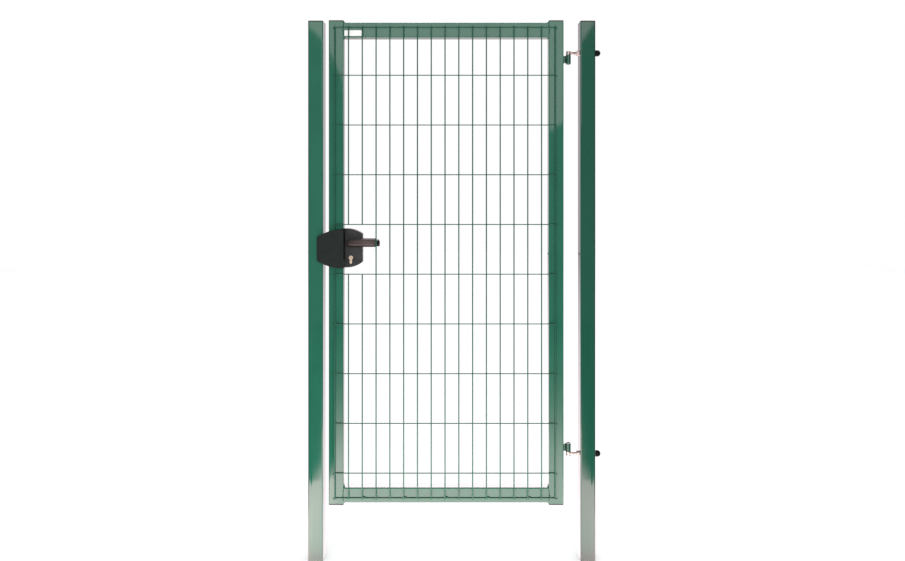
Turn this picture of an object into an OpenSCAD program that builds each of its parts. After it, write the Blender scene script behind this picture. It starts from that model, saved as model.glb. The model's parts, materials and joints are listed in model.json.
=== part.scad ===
// Pedestrian gate: a welded mesh leaf in a tube frame, hung between two square posts on
// adjustable pin hinges, with a moulded lock housing, lever handles and a profile cylinder.
//
// Millimetres. The origin is the centre of the hinge post's foot, on the ground. +X runs from
// the latch post to the hinge post, -Y is the side that the leaf opens to, and +Z is up.

/* [Posts] */
// Side of each square post
post_w = 60; // [50:1:100]
// Wall of the post tube
post_wall = 2; // [1.5:0.5:4]
// Outer corner radius of the post tube
post_corner = 5; // [3.5:0.5:8]
// How far the posts end below the top of the leaf
post_drop = 4; // [-40:1:40]

/* [Leaf frame] */
// Width of the leaf
leaf_w = 946; // [600:1:1400]
// Height of the frame over its two rails
frame_h = 1933; // [1000:1:2400]
// Space between the ground and the bottom rail
ground_gap = 230; // [60:1:400]
// Face width of the frame tube
tube_w = 60; // [40:1:80]
// Depth of the frame tube
tube_d = 40; // [30:1:60]
// Wall of the frame tube
tube_wall = 2; // [1.5:0.5:4]
// Outer corner radius of the frame tube
tube_corner = 4; // [3.5:0.5:6]
// How far the stile tubes run past the rails
stile_over = 5; // [0:1:20]

/* [Gaps] */
// Gap between the latch post and the leaf
latch_gap = 21; // [15:1:60]
// Gap between the leaf and the hinge post
hinge_gap = 66; // [54:1:90]

/* [Mesh] */
// Number of wires that stand upright
upright_count = 17; // [5:1:30]
// Thickness of the upright wires
upright_d = 5; // [3:0.5:8]
// Thickness of the cross wires
cross_d = 4; // [3:0.5:8]
// Height of a full row of cells
row_h = 200; // [80:1:215]
// Height of the short row at the bottom
bottom_row_h = 100; // [40:1:200]
// Distance from a rail's outer edge to the wire on it
wire_edge = 20; // [8:1:40]
// Distance from the latch stile's outer edge to the wire on it
latch_wire_in = 25.5; // [10:0.5:50]
// Distance from the hinge stile's outer edge to the wire on it
hinge_wire_in = 34.5; // [10:0.5:50]
// How far the cross wires run past the outer uprights
cross_over = 8; // [2:1:20]
// How far the uprights run past the outer cross wires
upright_over = 5; // [2:1:15]
// How deep the wires are melted into each other where they cross
wire_melt = 0.6; // [0.2:0.1:1.5]

/* [Hinges] */
// Distance from the stile's edge to the hinge axis
pin_reach = 22; // [20:1:32]
// Thickness of the hinge rod
rod_d = 12; // [10:1:16]
// Thickness of the hinge pin
pin_d = 12; // [10:1:14]
// Outer diameter of the hinge socket
socket_d = 20; // [18:1:26]
// Length of the hinge socket
socket_h = 37; // [25:1:60]
// Height of the plate that carries the socket
socket_plate_h = 29; // [20:1:50]
// Thickness of the plate that carries the socket
socket_plate_t = 8; // [5:1:12]
// Distance from the leaf's top down to the upper hinge rod
upper_rod_in = 129; // [60:1:600]
// Distance from the leaf's bottom up to the lower hinge rod
lower_rod_in = 200; // [60:1:600]
// Radial clearance of the pin in its socket
pin_play = 0.1; // [0.05:0.01:0.3]

/* [Lock] */
// Height above the ground near which the lock sits, between two cross wires
lock_height = 1250; // [800:1:1600]
// How far the lock sits above the middle of its row of cells
lock_lift = 3; // [-4:1:4]
// Height of the lock housing where it is tallest
lock_h = 158; // [140:1:220]
// How far the cover laps over the face of the latch post
cover_lap = 23; // [10:1:40]
// How far the cover's face stands in front of the posts
cover_stand = 10; // [9:1:20]
// Wall of the moulded housing
shell_wall = 3; // [2:0.5:5]
// Width of the lock case beside the stile
case_w = 71; // [58:1:90]
// Distance from the stile to the lever and cylinder axes
backset = 26; // [20:1:40]
// Height of the lever axis above the middle of the housing
lever_up = 21; // [10:1:40]
// Distance from the lever axis down to the cylinder axis
cylinder_drop = 60; // [50:1:92]

/* [Lever] */
// Length of the lever from its axis to its tip
lever_l = 119; // [90:1:150]
// Height of the lever's grip
lever_h = 30; // [18:1:34]
// Thickness of the lever's grip
lever_t = 14; // [10:1:18]
// Diameter of the lever's neck
neck_d = 20; // [14:1:24]

/* [Hidden] */
$fn = 64;
eps = 0.01; // reach of a cut past the face that it opens

// Places along X
hinge_post_x = 0;
post_face_x = hinge_post_x - post_w / 2; // inner face of the hinge post
leaf_right = post_face_x - hinge_gap;
leaf_left = leaf_right - leaf_w;
latch_face_x = leaf_left - latch_gap; // inner face of the latch post
latch_post_x = latch_face_x - post_w / 2;
pin_x = leaf_right + pin_reach;
stile_inner_x = leaf_left + tube_w; // edge of the latch stile towards the mesh

// Heights
cap_t = 4; // visible thickness of every end cap
frame_top = ground_gap + frame_h;
stile_bottom = ground_gap - stile_over;
stile_top = frame_top + stile_over;
post_tube_h = stile_top - post_drop;
upper_rod_z = stile_top + cap_t - upper_rod_in;
lower_rod_z = stile_bottom - cap_t + lower_rod_in;

// End caps
cap_chamfer = 1;
cap_plug_h = 14; // how far a cap's plug reaches into its tube
cap_plug_wall = 2.7;
cap_play = 0.3; // between the plug and its tube

// Faces along Y: the leaf frame lies in the middle of the posts' depth
frame_front = -tube_d / 2;
frame_back = tube_d / 2;
post_front = -post_w / 2;

// Mesh
cross_y = frame_front - cross_d / 2; // cross wires lie on the frame
upright_y = frame_front - cross_d - upright_d / 2 + wire_melt;
upright_back = upright_y + upright_d / 2;
first_upright_x = leaf_left + latch_wire_in;
last_upright_x = leaf_right - hinge_wire_in;
upright_pitch = (last_upright_x - first_upright_x) / (upright_count - 1);
bottom_wire_z = ground_gap + wire_edge;
top_wire_z = frame_top - wire_edge;
full_rows = floor((top_wire_z - bottom_wire_z - bottom_row_h) / row_h + 0.1);
wire_sides = 8;
case_wire_gap = 8; // a wire that would pass nearer to the lock case than this is cut out

// Row of cells that the lock sits in, and the middle of the lock
lock_row = round((lock_height - bottom_wire_z - bottom_row_h) / row_h - 0.5);
lock_z = bottom_wire_z + bottom_row_h + (lock_row + 0.5) * row_h + lock_lift;

// Lock housing
cover_back_gap = 5; // air between the cover and the front of the latch post
cover_front = post_front - cover_stand;
cover_left = latch_face_x - cover_lap;
cover_lap_back = post_front - cover_back_gap;
outline_r = 198; // sweep of the cover's upper and lower edges
corner_r = 6; // corners at the cover's free end
case_r = 105; // sweep of the case's upper and lower edges
case_corner_r = 8; // corners at the case's free end
case_flat = 8; // straight stretch of the case's edge beside the stile
case_half = 16; // depth of the case's front half, inside the frame
back_half = 24; // depth of the housing behind the frame
case_front = frame_back - case_half;
case_back = frame_back + back_half;
edge_r = 3; // rounding round the moulded faces
wire_notch_w = upright_d + 3; // slot in the cover's rim for the wire on the stile
side_wall_h = lock_h - 2 * edge_r; // cover's side wall, beside the stile
axis_x = stile_inner_x + backset;
lever_z = lock_z + lever_up;
cylinder_z = lever_z - cylinder_drop;

// Lever handles
lever_clear = 5; // air between the grips and the wires
front_grip_y = upright_back + lever_clear; // front face of the front grip
lever_stand = case_front - front_grip_y; // from the case's face to the grip's outer face
grip_bevel = 5;
tip_l = 15; // plug in the free end of the grip
tip_h = 22;
tip_drop = 1; // the plug sits this much below the middle of the grip
tip_round = 2;
back_lever_l = lever_l - 10; // the lever behind is a little shorter
spindle_w = 8;
neck_play = 0.3;
neck_seat = 8; // length of a lever's neck inside the housing
socket_depth = 12; // square hole in each neck for the spindle

// Euro profile cylinder
cyl_r = 8.5;
cyl_web_w = 10;
cyl_total_h = 33;
cyl_proud = 2;
cyl_clear = 0.5; // round the cylinder in the case
key_plug_r = 6;
plug_ring = 0.4; // width of the groove round the plug
plug_ring_depth = 0.6;
keyway_w = 2;
keyway_h = 8.4;
keyway_depth = 8;
recess_grow = 2.5; // escutcheon recess round the cylinder
recess_depth = 1.5;

// Bolts and their keep in the latch post
bolt_t = 12; // across the leaf
latch_bolt_h = 30;
dead_bolt_h = 26;
bolt_proud = 8; // latch bolt drawn in, so that the leaf swings free
bolt_nose = 3; // blunt end of the latch bolt's bevelled nose
bolt_slot_play = 1;
keep_play = 4;

// Hinge hardware
head_wall = 3; // of the knuckle round the thicker of rod and pin
head_d = max(rod_d, pin_d) + 2 * head_wall;
head_h = rod_d + 2;
rod_chamfer = 1.5;
pin_l = 33; // from the knuckle's face to the pin's end
bearing_gap = 0.3; // between a knuckle and its socket
rod_hole_play = 0.5;
nut_af = rod_d + 7; // across flats
nut_h = 10;
nut_corner_cut = 1.2; // length of the turned corners
washer_d = 2 * rod_d;
washer_t = 2.5;
rod_past_nut = 3;
nut_fit = 0.2; // between the outer nut's corners and the dome cap
rod_fit = 0.5; // between the rod's end and the dome cap
dome_wall = 1.3;
dome_d = nut_af / cos(30) + 2 * (nut_fit + dome_wall);
dome_l = nut_h + rod_past_nut + 13;

// ---- Shared shapes ----

// Rounded rectangle round the origin, with true arcs
module rounded_rect(w, h, r) {
    square([w - 2 * r, h], center = true);
    square([w, h - 2 * r], center = true);
    for (x = [-1, 1], y = [-1, 1])
        translate([x * (w / 2 - r), y * (h / 2 - r)]) circle(r);
}

// Cross-section of a welded tube
module tube_section(w, d, wall, r) {
    difference() {
        rounded_rect(w, d, r);
        rounded_rect(w - 2 * wall, d - 2 * wall, r - wall);
    }
}

// Plastic end cap: a plate that follows the tube, with softened edges, and a plug inside it.
// It stands on z = 0 with the plug below.
module end_cap(w, d, wall, r) {
    edge_z = cap_t - cap_chamfer; // where the softened edge starts
    grow = 2 * cap_chamfer;
    inside = 2 * (wall + cap_play);
    hollow = inside + 2 * cap_plug_wall;
    difference() {
        linear_extrude(cap_t) rounded_rect(w, d, r);
        difference() {
            translate([0, 0, edge_z]) linear_extrude(cap_chamfer + eps)
                square([w + grow, d + grow], center = true);
            hull() {
                translate([0, 0, edge_z - eps]) linear_extrude(eps) rounded_rect(w, d, r, $fn = 32);
                translate([0, 0, cap_t]) linear_extrude(2 * eps)
                    rounded_rect(w - grow, d - grow, r - cap_chamfer, $fn = 32);
            }
        }
    }
    translate([0, 0, -cap_plug_h]) linear_extrude(cap_plug_h + eps) difference() {
        rounded_rect(w - inside, d - inside, r - wall);
        rounded_rect(w - hollow, d - hollow, r - wall - eps);
    }
}

// Extrudes a drawing in X and Z from y_back towards the viewer to y_front
module slab(y_back, y_front) {
    translate([0, y_back, 0]) rotate([90, 0, 0]) linear_extrude(y_back - y_front) children();
}

// Points of an arc
function arc(x, y, r, from, to, steps) =
    [for (i = [0:steps]) let (a = from + (to - from) * i / steps) [x + r * cos(a), y + r * sin(a)]];

// Half outline of a moulded face, from its straight edge at x = 0 to the middle of its free end.
// It is level for flat, falls along an arc of sweep radius, and turns into the free end at x = w.
// All of it is set in by inset.
function half_outline(w, h, sweep, corner, flat, inset) =
    let (
        big = sweep - inset,
        small = max(corner - inset, 0.5),
        centre_y = h / 2 - sweep,
        corner_x = w - inset - small,
        corner_y = centre_y + sqrt(pow(big - small, 2) - pow(corner_x - flat, 2)),
        meet = atan2(corner_y - centre_y, corner_x - flat),
        start = acos(max(inset - flat, 0) / big)
    )
    concat(
        flat > inset ? [[inset, h / 2 - inset]] : [],
        arc(flat, centre_y, big, start, meet, 12),
        arc(corner_x, corner_y, small, meet, 0, 6)
    );

// Whole outline, mirrored about y = 0
module outline(w, h, sweep, corner, flat, inset = 0) {
    half = half_outline(w, h, sweep, corner, flat, inset);
    polygon(concat(half, [for (i = [len(half) - 1:-1:0]) [half[i][0], -half[i][1]]]));
}

// Outline of the cover, from its side wall at the stile's inner edge to its end on the post
module cover_outline(inset = 0) {
    right = stile_inner_x + shell_wall;
    translate([right, 0]) mirror([1, 0]) outline(right - cover_left, lock_h, outline_r, corner_r, 0, inset);
}

// Outline of the case beside the stile
module case_outline(inset = 0) {
    translate([stile_inner_x, 0]) outline(case_w, lock_h, case_r, case_corner_r, case_flat, inset);
}

// Outline of the housing behind the stile and the case: the case's free end on one side, and
// the cover's sweep cut off at the stile's edge on the other
module back_outline(inset = 0) {
    translate([-inset, 0]) case_outline(inset);
    translate([inset, 0]) intersection() {
        translate([-inset, 0]) cover_outline(inset);
        translate([leaf_left, -lock_h]) square([tube_w, 2 * lock_h]);
    }
}

// Steps of a quarter round, as [how far in, how far from the face]
round_steps = [for (a = [0:30:90]) [edge_r * (1 - cos(a)), edge_r * (1 - sin(a))]];

// Profile cylinder's outline: a round with a web below it
module profile_outline(grow = 0) {
    circle(cyl_r + grow);
    web_end = cyl_total_h - cyl_r - cyl_web_w / 2;
    translate([0, -web_end]) circle(cyl_web_w / 2 + grow);
    translate([-cyl_web_w / 2 - grow, -web_end]) square([cyl_web_w + 2 * grow, web_end]);
}

// Hexagon across its flats
module hexagon(af) {
    circle(d = af / cos(30), $fn = 6);
}

// ---- Posts and hinge hardware ----

module post_tube() {
    linear_extrude(post_tube_h) tube_section(post_w, post_w, post_wall, post_corner);
}

module latch_post() {
    color("seagreen") difference() {
        translate([latch_post_x, 0, 0]) post_tube();
        keep_slot(latch_bolt_h, lever_z);
        keep_slot(dead_bolt_h, cylinder_z);
    }
}

// Slot in the latch post's inner wall for a bolt
module keep_slot(h, z) {
    translate([latch_face_x - post_wall - eps, -bolt_t / 2 - keep_play, z - h / 2 - keep_play])
        cube([post_wall + 2 * eps, bolt_t + 2 * keep_play, h + 2 * keep_play]);
}

module hinge_post() {
    color("seagreen") difference() {
        translate([hinge_post_x, 0, 0]) post_tube();
        for (z = [upper_rod_z, lower_rod_z])
            translate([post_face_x - eps, 0, z]) rotate([0, 90, 0])
                cylinder(d = rod_d + 2 * rod_hole_play, h = post_w + 2 * eps);
    }
}

module post_cap(x) {
    color("#1d201f") translate([x, 0, post_tube_h]) end_cap(post_w, post_w, post_wall, post_corner);
}

// Threaded rod with a knuckle and a pin at its end. way is -1 where the pin points down.
module hinge_rod(z, way) {
    rod_end = post_w + nut_h + rod_past_nut;
    pin_end = head_h / 2 + pin_l;
    color("#c9c7bd") translate([0, 0, z]) union() {
        translate([pin_x, 0, 0]) rotate([0, 90, 0])
            cylinder(d = rod_d, h = post_face_x - pin_x + rod_end - rod_chamfer);
        translate([post_face_x + rod_end - rod_chamfer, 0, 0]) rotate([0, 90, 0])
            cylinder(d1 = rod_d, d2 = rod_d - 2 * rod_chamfer, h = rod_chamfer);
        translate([pin_x, 0, -head_h / 2]) cylinder(d = head_d, h = head_h);
        translate([pin_x, 0, 0]) mirror([0, 0, way < 0 ? 1 : 0]) {
            cylinder(d = pin_d, h = pin_end - rod_chamfer);
            translate([0, 0, pin_end - rod_chamfer])
                cylinder(d1 = pin_d, d2 = pin_d - 2 * rod_chamfer, h = rod_chamfer);
        }
    }
}

module inner_washer(z) {
    color("silver") translate([post_face_x - washer_t, 0, z]) rotate([0, 90, 0]) difference() {
        cylinder(d = washer_d, h = washer_t);
        translate([0, 0, -eps]) cylinder(d = rod_d, h = washer_t + 2 * eps);
    }
}

// Hexagon nut with turned corners, threaded on the rod, between x and x + nut_h
module hex_nut(x, z) {
    flat_r = nut_af / 2;
    wide_r = flat_r + nut_corner_cut * 1.5;
    color("silver") translate([x, 0, z]) rotate([0, 90, 0]) difference() {
        intersection() {
            linear_extrude(nut_h) hexagon(nut_af);
            rotate_extrude() polygon([
                [0, 0], [flat_r, 0], [wide_r, nut_corner_cut],
                [wide_r, nut_h - nut_corner_cut], [flat_r, nut_h], [0, nut_h]
            ]);
        }
        translate([0, 0, -eps]) cylinder(d = rod_d, h = nut_h + 2 * eps);
    }
}

module inner_nut(z) {
    hex_nut(post_face_x - washer_t - nut_h, z);
}

module outer_nut(z) {
    hex_nut(post_face_x + post_w, z);
}

// Domed plastic cap over the outer nut and the rod's end
module dome_cap(z) {
    inner_r = nut_af / 2 / cos(30) + nut_fit;
    outer_r = dome_d / 2;
    nose = dome_l - outer_r;
    cavity_l = nut_h + rod_past_nut + 2 * rod_fit;
    color("#222423") translate([post_face_x + post_w, 0, z]) rotate([0, 90, 0]) difference() {
        rotate_extrude() union() {
            square([outer_r, nose]);
            translate([0, nose]) intersection() {
                circle(outer_r);
                square(outer_r);
            }
        }
        translate([0, 0, -eps]) cylinder(r = inner_r, h = nut_h + eps);
        translate([0, 0, -eps]) cylinder(d = rod_d + 2 * rod_fit, h = cavity_l + eps);
    }
}

// ---- Leaf frame ----

module stile(x) {
    translate([x, 0, stile_bottom]) linear_extrude(stile_top - stile_bottom)
        tube_section(tube_w, tube_d, tube_wall, tube_corner);
}

module latch_stile() {
    color("seagreen") difference() {
        stile(leaf_left + tube_w / 2);
        bolt_slot(latch_bolt_h, lever_z);
        bolt_slot(dead_bolt_h, cylinder_z);
    }
}

// Slot through both side walls of the latch stile for a bolt
module bolt_slot(h, z) {
    translate([leaf_left - eps, -bolt_t / 2 - bolt_slot_play, z - h / 2 - bolt_slot_play])
        cube([tube_w + 2 * eps, bolt_t + 2 * bolt_slot_play, h + 2 * bolt_slot_play]);
}

module hinge_stile() {
    color("seagreen") stile(leaf_right - tube_w / 2);
}

// Rail between the stiles, its ends butted to their inner faces
module rail(z) {
    color("seagreen") translate([stile_inner_x, 0, z]) rotate([0, 90, 0])
        linear_extrude(leaf_w - 2 * tube_w) tube_section(tube_w, tube_d, tube_wall, tube_corner);
}

module top_rail() {
    rail(frame_top - tube_w / 2);
}

module bottom_rail() {
    rail(ground_gap + tube_w / 2);
}

module stile_cap(x, top) {
    color("#1d201f") translate([x, 0, top ? stile_top : stile_bottom]) mirror([0, 0, top ? 0 : 1])
        end_cap(tube_w, tube_d, tube_wall, tube_corner);
}

// ---- Mesh ----

module wire_z(x, z0, z1) {
    translate([x, upright_y, z0]) rotate([0, 0, 180 / wire_sides])
        cylinder(d = upright_d, h = z1 - z0, $fn = wire_sides);
}

module wire_x(z, x0, x1) {
    translate([x0, cross_y, z]) rotate([0, 90, 0]) rotate([0, 0, 180 / wire_sides])
        cylinder(d = cross_d, h = x1 - x0, $fn = wire_sides);
}

// Heights of the cross wires: a short row at the bottom, full rows, and what is left on top
cross_zs = concat(
    [bottom_wire_z],
    [for (i = [0:full_rows - 1]) bottom_wire_z + bottom_row_h + i * row_h],
    [top_wire_z]
);

// The mesh is cut out round the lock: what would pass the case stops at the wires round it
lock_half = lock_h / 2 + cross_d / 2;
cross_below_lock = max([for (z = cross_zs) if (z < lock_z - lock_half) z]);
cross_above_lock = min([for (z = cross_zs) if (z > lock_z + lock_half) z]);
case_right = stile_inner_x + case_w;
uprights = [for (i = [0:upright_count - 1]) first_upright_x + i * upright_pitch];
upright_past_lock = min([for (x = uprights) if (x > case_right + case_wire_gap + upright_d / 2) x]);

function meets_lock(z) = z > cross_below_lock && z < cross_above_lock;
function meets_case(x) = x > stile_inner_x - upright_d && x < upright_past_lock;

module mesh_panel() {
    bottom = bottom_wire_z - upright_over;
    top = top_wire_z + upright_over;
    color("#5d8578") {
        for (z = cross_zs)
            wire_x(z, (meets_lock(z) ? upright_past_lock : first_upright_x) - cross_over,
                last_upright_x + cross_over);
        for (x = uprights) {
            if (meets_case(x)) {
                wire_z(x, bottom, cross_below_lock);
                wire_z(x, cross_above_lock, top);
            } else {
                wire_z(x, bottom, top);
            }
        }
    }
}

// ---- Hinge sockets on the leaf ----

// Middle of a socket: below its rod where the pin points down, above it where it points up
function socket_mid(z, way) = z + way * (head_h / 2 + bearing_gap + socket_h / 2);

module hinge_socket(z, way) {
    color("seagreen") translate([pin_x, 0, socket_mid(z, way) - socket_h / 2]) difference() {
        cylinder(d = socket_d, h = socket_h);
        translate([0, 0, -eps]) cylinder(d = pin_d + 2 * pin_play, h = socket_h + 2 * eps);
    }
}

// Plate from the stile's edge to the socket, hollowed to the socket's round
module socket_plate(z, way) {
    color("seagreen") difference() {
        translate([leaf_right, -socket_plate_t / 2, socket_mid(z, way) - socket_plate_h / 2])
            cube([pin_reach, socket_plate_t, socket_plate_h]);
        translate([pin_x, 0, socket_mid(z, way) - socket_h / 2]) cylinder(d = socket_d, h = socket_h);
    }
}

// ---- Lock ----

// Moulded slab with one rounded face at y_face and its flat side at y_flat. The child draws
// the outline, set in by $inset.
module moulded(y_flat, y_face) {
    hull() for (s = round_steps) {
        $inset = s[0];
        if (y_face < y_flat)
            slab(y_flat, y_face + s[1]) children();
        else
            slab(y_face - s[1], y_flat) children();
    }
}

// Cover over the stile, the gap and the edge of the post. Its rim rests on the stile's face
// and stays clear of the post, and its side wall reaches back along the stile to the case.
module lock_cover() {
    color("#2e3231") difference() {
        union() {
            translate([0, 0, lock_z]) moulded(frame_front, cover_front) cover_outline($inset);
            translate([stile_inner_x, cover_front + 2 * edge_r, lock_z - side_wall_h / 2])
                cube([shell_wall, case_front - cover_front - 2 * edge_r, side_wall_h]);
        }
        // hollow over the stile
        translate([0, 0, lock_z]) slab(frame_front + eps, cover_front + shell_wall) intersection() {
            cover_outline(shell_wall);
            translate([leaf_left + shell_wall, -lock_h]) square([tube_w, 2 * lock_h]);
        }
        // hollow over the gap and the post
        translate([0, 0, lock_z]) slab(frame_front, cover_front + shell_wall) intersection() {
            cover_outline(shell_wall);
            translate([cover_left, -lock_h]) square([leaf_left - cover_left, 2 * lock_h]);
        }
        // the lap over the post and the gap stops short of the post
        translate([cover_left - eps, cover_lap_back, lock_z - lock_h])
            cube([leaf_left - cover_left + eps, frame_front - cover_lap_back + 2 * eps, 2 * lock_h]);
        // slots in the rim for the wire that runs down the stile
        translate([first_upright_x - wire_notch_w / 2, upright_y - wire_notch_w / 2, lock_z - lock_h])
            cube([wire_notch_w, frame_front - upright_y + wire_notch_w / 2 + eps, 2 * lock_h]);
    }
}

// Front half of the case, beside the stile and inside the frame's depth
module lock_case() {
    color("#3c3f3f") difference() {
        translate([0, 0, lock_z]) moulded(frame_back, case_front) case_outline($inset);
        lock_bores(frame_back + 1, case_front - 1);
        translate([axis_x, 0, cylinder_z])
            slab(case_front + recess_depth, case_front - 1) profile_outline(recess_grow);
    }
}

// Back half of the housing, over the case and the stile
module lock_back_case() {
    color("#3c3f3f") difference() {
        translate([0, 0, lock_z]) moulded(frame_back, case_back) back_outline($inset);
        lock_bores(case_back + 1, frame_back - 1);
        translate([axis_x, 0, cylinder_z])
            slab(case_back + 1, case_back - recess_depth) profile_outline(recess_grow);
    }
}

// Bores for the lever necks and the cylinder
module lock_bores(y_back, y_front) {
    translate([axis_x, y_back, lever_z]) rotate([90, 0, 0])
        cylinder(d = neck_d + 2 * neck_play, h = y_back - y_front);
    translate([axis_x, 0, cylinder_z]) slab(y_back, y_front) profile_outline(cyl_clear);
}

// Profile cylinder through the housing, with a round plug and a keyway at each end
module lock_cylinder() {
    y0 = case_front - cyl_proud;
    y1 = case_back + cyl_proud;
    color("#c8a95a") difference() {
        translate([axis_x, 0, cylinder_z]) slab(y1, y0) profile_outline();
        for (y = [y0, y1]) {
            face = y == y0 ? 1 : -1;
            // ring groove round the plug
            translate([axis_x, y, cylinder_z]) rotate([face > 0 ? -90 : 90, 0, 0]) difference() {
                translate([0, 0, -eps]) cylinder(r = key_plug_r + plug_ring, h = plug_ring_depth + eps);
                translate([0, 0, -2 * eps]) cylinder(r = key_plug_r, h = 2 * plug_ring_depth);
            }
            translate([axis_x - keyway_w / 2, y - keyway_depth, cylinder_z - keyway_h / 2])
                cube([keyway_w, 2 * keyway_depth, keyway_h]);
        }
    }
}

// Sprung latch bolt through the stile, drawn in, its nose bevelled on the closing side
module latch_bolt() {
    nose_x = leaf_left - bolt_proud;
    root_x = stile_inner_x;
    color("silver") translate([0, 0, lever_z - latch_bolt_h / 2]) linear_extrude(latch_bolt_h) polygon([
        [root_x, bolt_t / 2], [root_x, -bolt_t / 2], [leaf_left, -bolt_t / 2],
        [nose_x, bolt_t / 2 - bolt_nose], [nose_x, bolt_t / 2]
    ]);
}

// Dead bolt through the stile, drawn in flush
module dead_bolt() {
    color("silver") translate([leaf_left, -bolt_t / 2, cylinder_z - dead_bolt_h / 2])
        cube([tube_w, bolt_t, dead_bolt_h]);
}

// ---- Levers ----

// Bar with one round end and a bevel round its outer face, drawn with its axis at the origin,
// lying from y = 0 (outer face) to y = lever_t
module grip(l) {
    body_l = l - tip_l;
    tip_t = lever_t - grip_bevel;
    r = lever_h / 2;
    hull() {
        grip_slab(lever_t - grip_bevel) grip_outline(r, body_l, 0);
        grip_slab(lever_t) grip_outline(r, body_l, grip_bevel);
    }
    // plug in the free end
    translate([body_l - eps, grip_bevel / 2, -tip_drop - tip_h / 2]) hull() {
        cube([tip_l - tip_round, tip_t, tip_h]);
        translate([0, tip_round, tip_round]) cube([tip_l, tip_t - 2 * tip_round, tip_h - 2 * tip_round]);
    }
}

// Extrudes a drawing in X and Z by t from the grip's inner face outwards
module grip_slab(t) {
    translate([0, lever_t, 0]) rotate([90, 0, 0]) linear_extrude(t) children();
}

module grip_outline(r, l, inset) {
    circle(r - inset, $fn = 32);
    translate([0, -r + inset]) square([l - inset / 2, 2 * (r - inset)]);
}

// Handle on the front: grip, neck and the square socket for the spindle
module lever(l) {
    neck_l = lever_stand + neck_seat;
    difference() {
        union() {
            grip(l);
            translate([0, neck_l, 0]) rotate([90, 0, 0]) cylinder(d = neck_d, h = neck_l - lever_t + 1);
        }
        translate([-spindle_w / 2, neck_l - socket_depth, -spindle_w / 2])
            cube([spindle_w, socket_depth + eps, spindle_w]);
    }
}

module front_lever() {
    color("#3a2f2d") translate([axis_x, front_grip_y, lever_z]) lever(lever_l);
}

module back_lever() {
    color("#3a2f2d") translate([axis_x, case_back + lever_stand, lever_z])
        mirror([0, 1, 0]) lever(back_lever_l);
}

// Square bar between the two levers
module lever_spindle() {
    y0 = case_front + neck_seat - socket_depth;
    y1 = case_back - neck_seat + socket_depth;
    color("silver") translate([axis_x - spindle_w / 2, y0, lever_z - spindle_w / 2])
        cube([spindle_w, y1 - y0, spindle_w]);
}

// ---- Nodes ----

latch_post();
hinge_post();
post_cap(latch_post_x);  // latch_post_cap
post_cap(hinge_post_x);  // hinge_post_cap
hinge_rod(upper_rod_z, -1);  // upper_hinge_rod
hinge_rod(lower_rod_z, 1);  // lower_hinge_rod
inner_washer(upper_rod_z);  // upper_washer
inner_washer(lower_rod_z);  // lower_washer
inner_nut(upper_rod_z);  // upper_inner_nut
inner_nut(lower_rod_z);  // lower_inner_nut
outer_nut(upper_rod_z);  // upper_outer_nut
outer_nut(lower_rod_z);  // lower_outer_nut
dome_cap(upper_rod_z);  // upper_dome_cap
dome_cap(lower_rod_z);  // lower_dome_cap
latch_stile();
hinge_stile();
top_rail();
bottom_rail();
stile_cap(leaf_left + tube_w / 2, true);  // latch_stile_top_cap
stile_cap(leaf_left + tube_w / 2, false);  // latch_stile_bottom_cap
stile_cap(leaf_right - tube_w / 2, true);  // hinge_stile_top_cap
stile_cap(leaf_right - tube_w / 2, false);  // hinge_stile_bottom_cap
mesh_panel();
hinge_socket(upper_rod_z, -1);  // upper_hinge_socket
hinge_socket(lower_rod_z, 1);  // lower_hinge_socket
socket_plate(upper_rod_z, -1);  // upper_socket_plate
socket_plate(lower_rod_z, 1);  // lower_socket_plate
lock_cover();
lock_case();
lock_back_case();
lock_cylinder();
latch_bolt();
dead_bolt();
lever_spindle();
front_lever();
back_lever();
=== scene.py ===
"""Looks of a pedestrian gate: its finishes, wire mesh, welds, hinge threads, blank label and studio."""

import json
import logging
import math
import random
from collections.abc import Sequence
from dataclasses import dataclass
from enum import Enum
from typing import ClassVar

import bmesh
import bpy
from mathutils import Matrix, Vector


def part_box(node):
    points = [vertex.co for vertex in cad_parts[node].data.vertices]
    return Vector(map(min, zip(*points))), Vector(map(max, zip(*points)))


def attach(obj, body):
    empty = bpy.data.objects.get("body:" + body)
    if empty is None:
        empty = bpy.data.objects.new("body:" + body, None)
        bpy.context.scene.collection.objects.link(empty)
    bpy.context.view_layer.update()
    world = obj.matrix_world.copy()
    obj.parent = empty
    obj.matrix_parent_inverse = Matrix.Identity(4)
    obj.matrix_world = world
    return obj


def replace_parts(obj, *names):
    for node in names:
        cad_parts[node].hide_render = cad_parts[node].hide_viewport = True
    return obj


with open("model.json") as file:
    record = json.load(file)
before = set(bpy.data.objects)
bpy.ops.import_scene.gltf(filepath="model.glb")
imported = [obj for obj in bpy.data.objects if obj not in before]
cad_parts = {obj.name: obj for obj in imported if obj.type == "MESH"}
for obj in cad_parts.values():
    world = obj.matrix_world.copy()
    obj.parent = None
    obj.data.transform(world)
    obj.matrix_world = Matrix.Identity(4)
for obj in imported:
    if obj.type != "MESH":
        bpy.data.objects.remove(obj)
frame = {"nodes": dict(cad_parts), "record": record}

LOG = logging.getLogger("gate")

Colour = tuple[float, float, float]


class Body(Enum):
    """Bodies of the gate that pieces ride on."""

    POSTS = "posts"
    LEAF = "leaf"
    LEVER = "lever"


class Slot(Enum):
    """Material slots of the gate's record."""

    GREEN_COAT = "green_coat"
    MESH_COAT = "mesh_coat"
    CAP_PLASTIC = "cap_plastic"
    ZINC_PLATE = "zinc_plate"
    COVER_PLASTIC = "cover_plastic"
    CASE_PLASTIC = "case_plastic"
    LEVER_PLASTIC = "lever_plastic"
    CYLINDER_BRASS = "cylinder_brass"
    LABEL_FILM = "label_film"
    BOLT_STEEL = "bolt_steel"


# ---- Node trees and finishes ----


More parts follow.
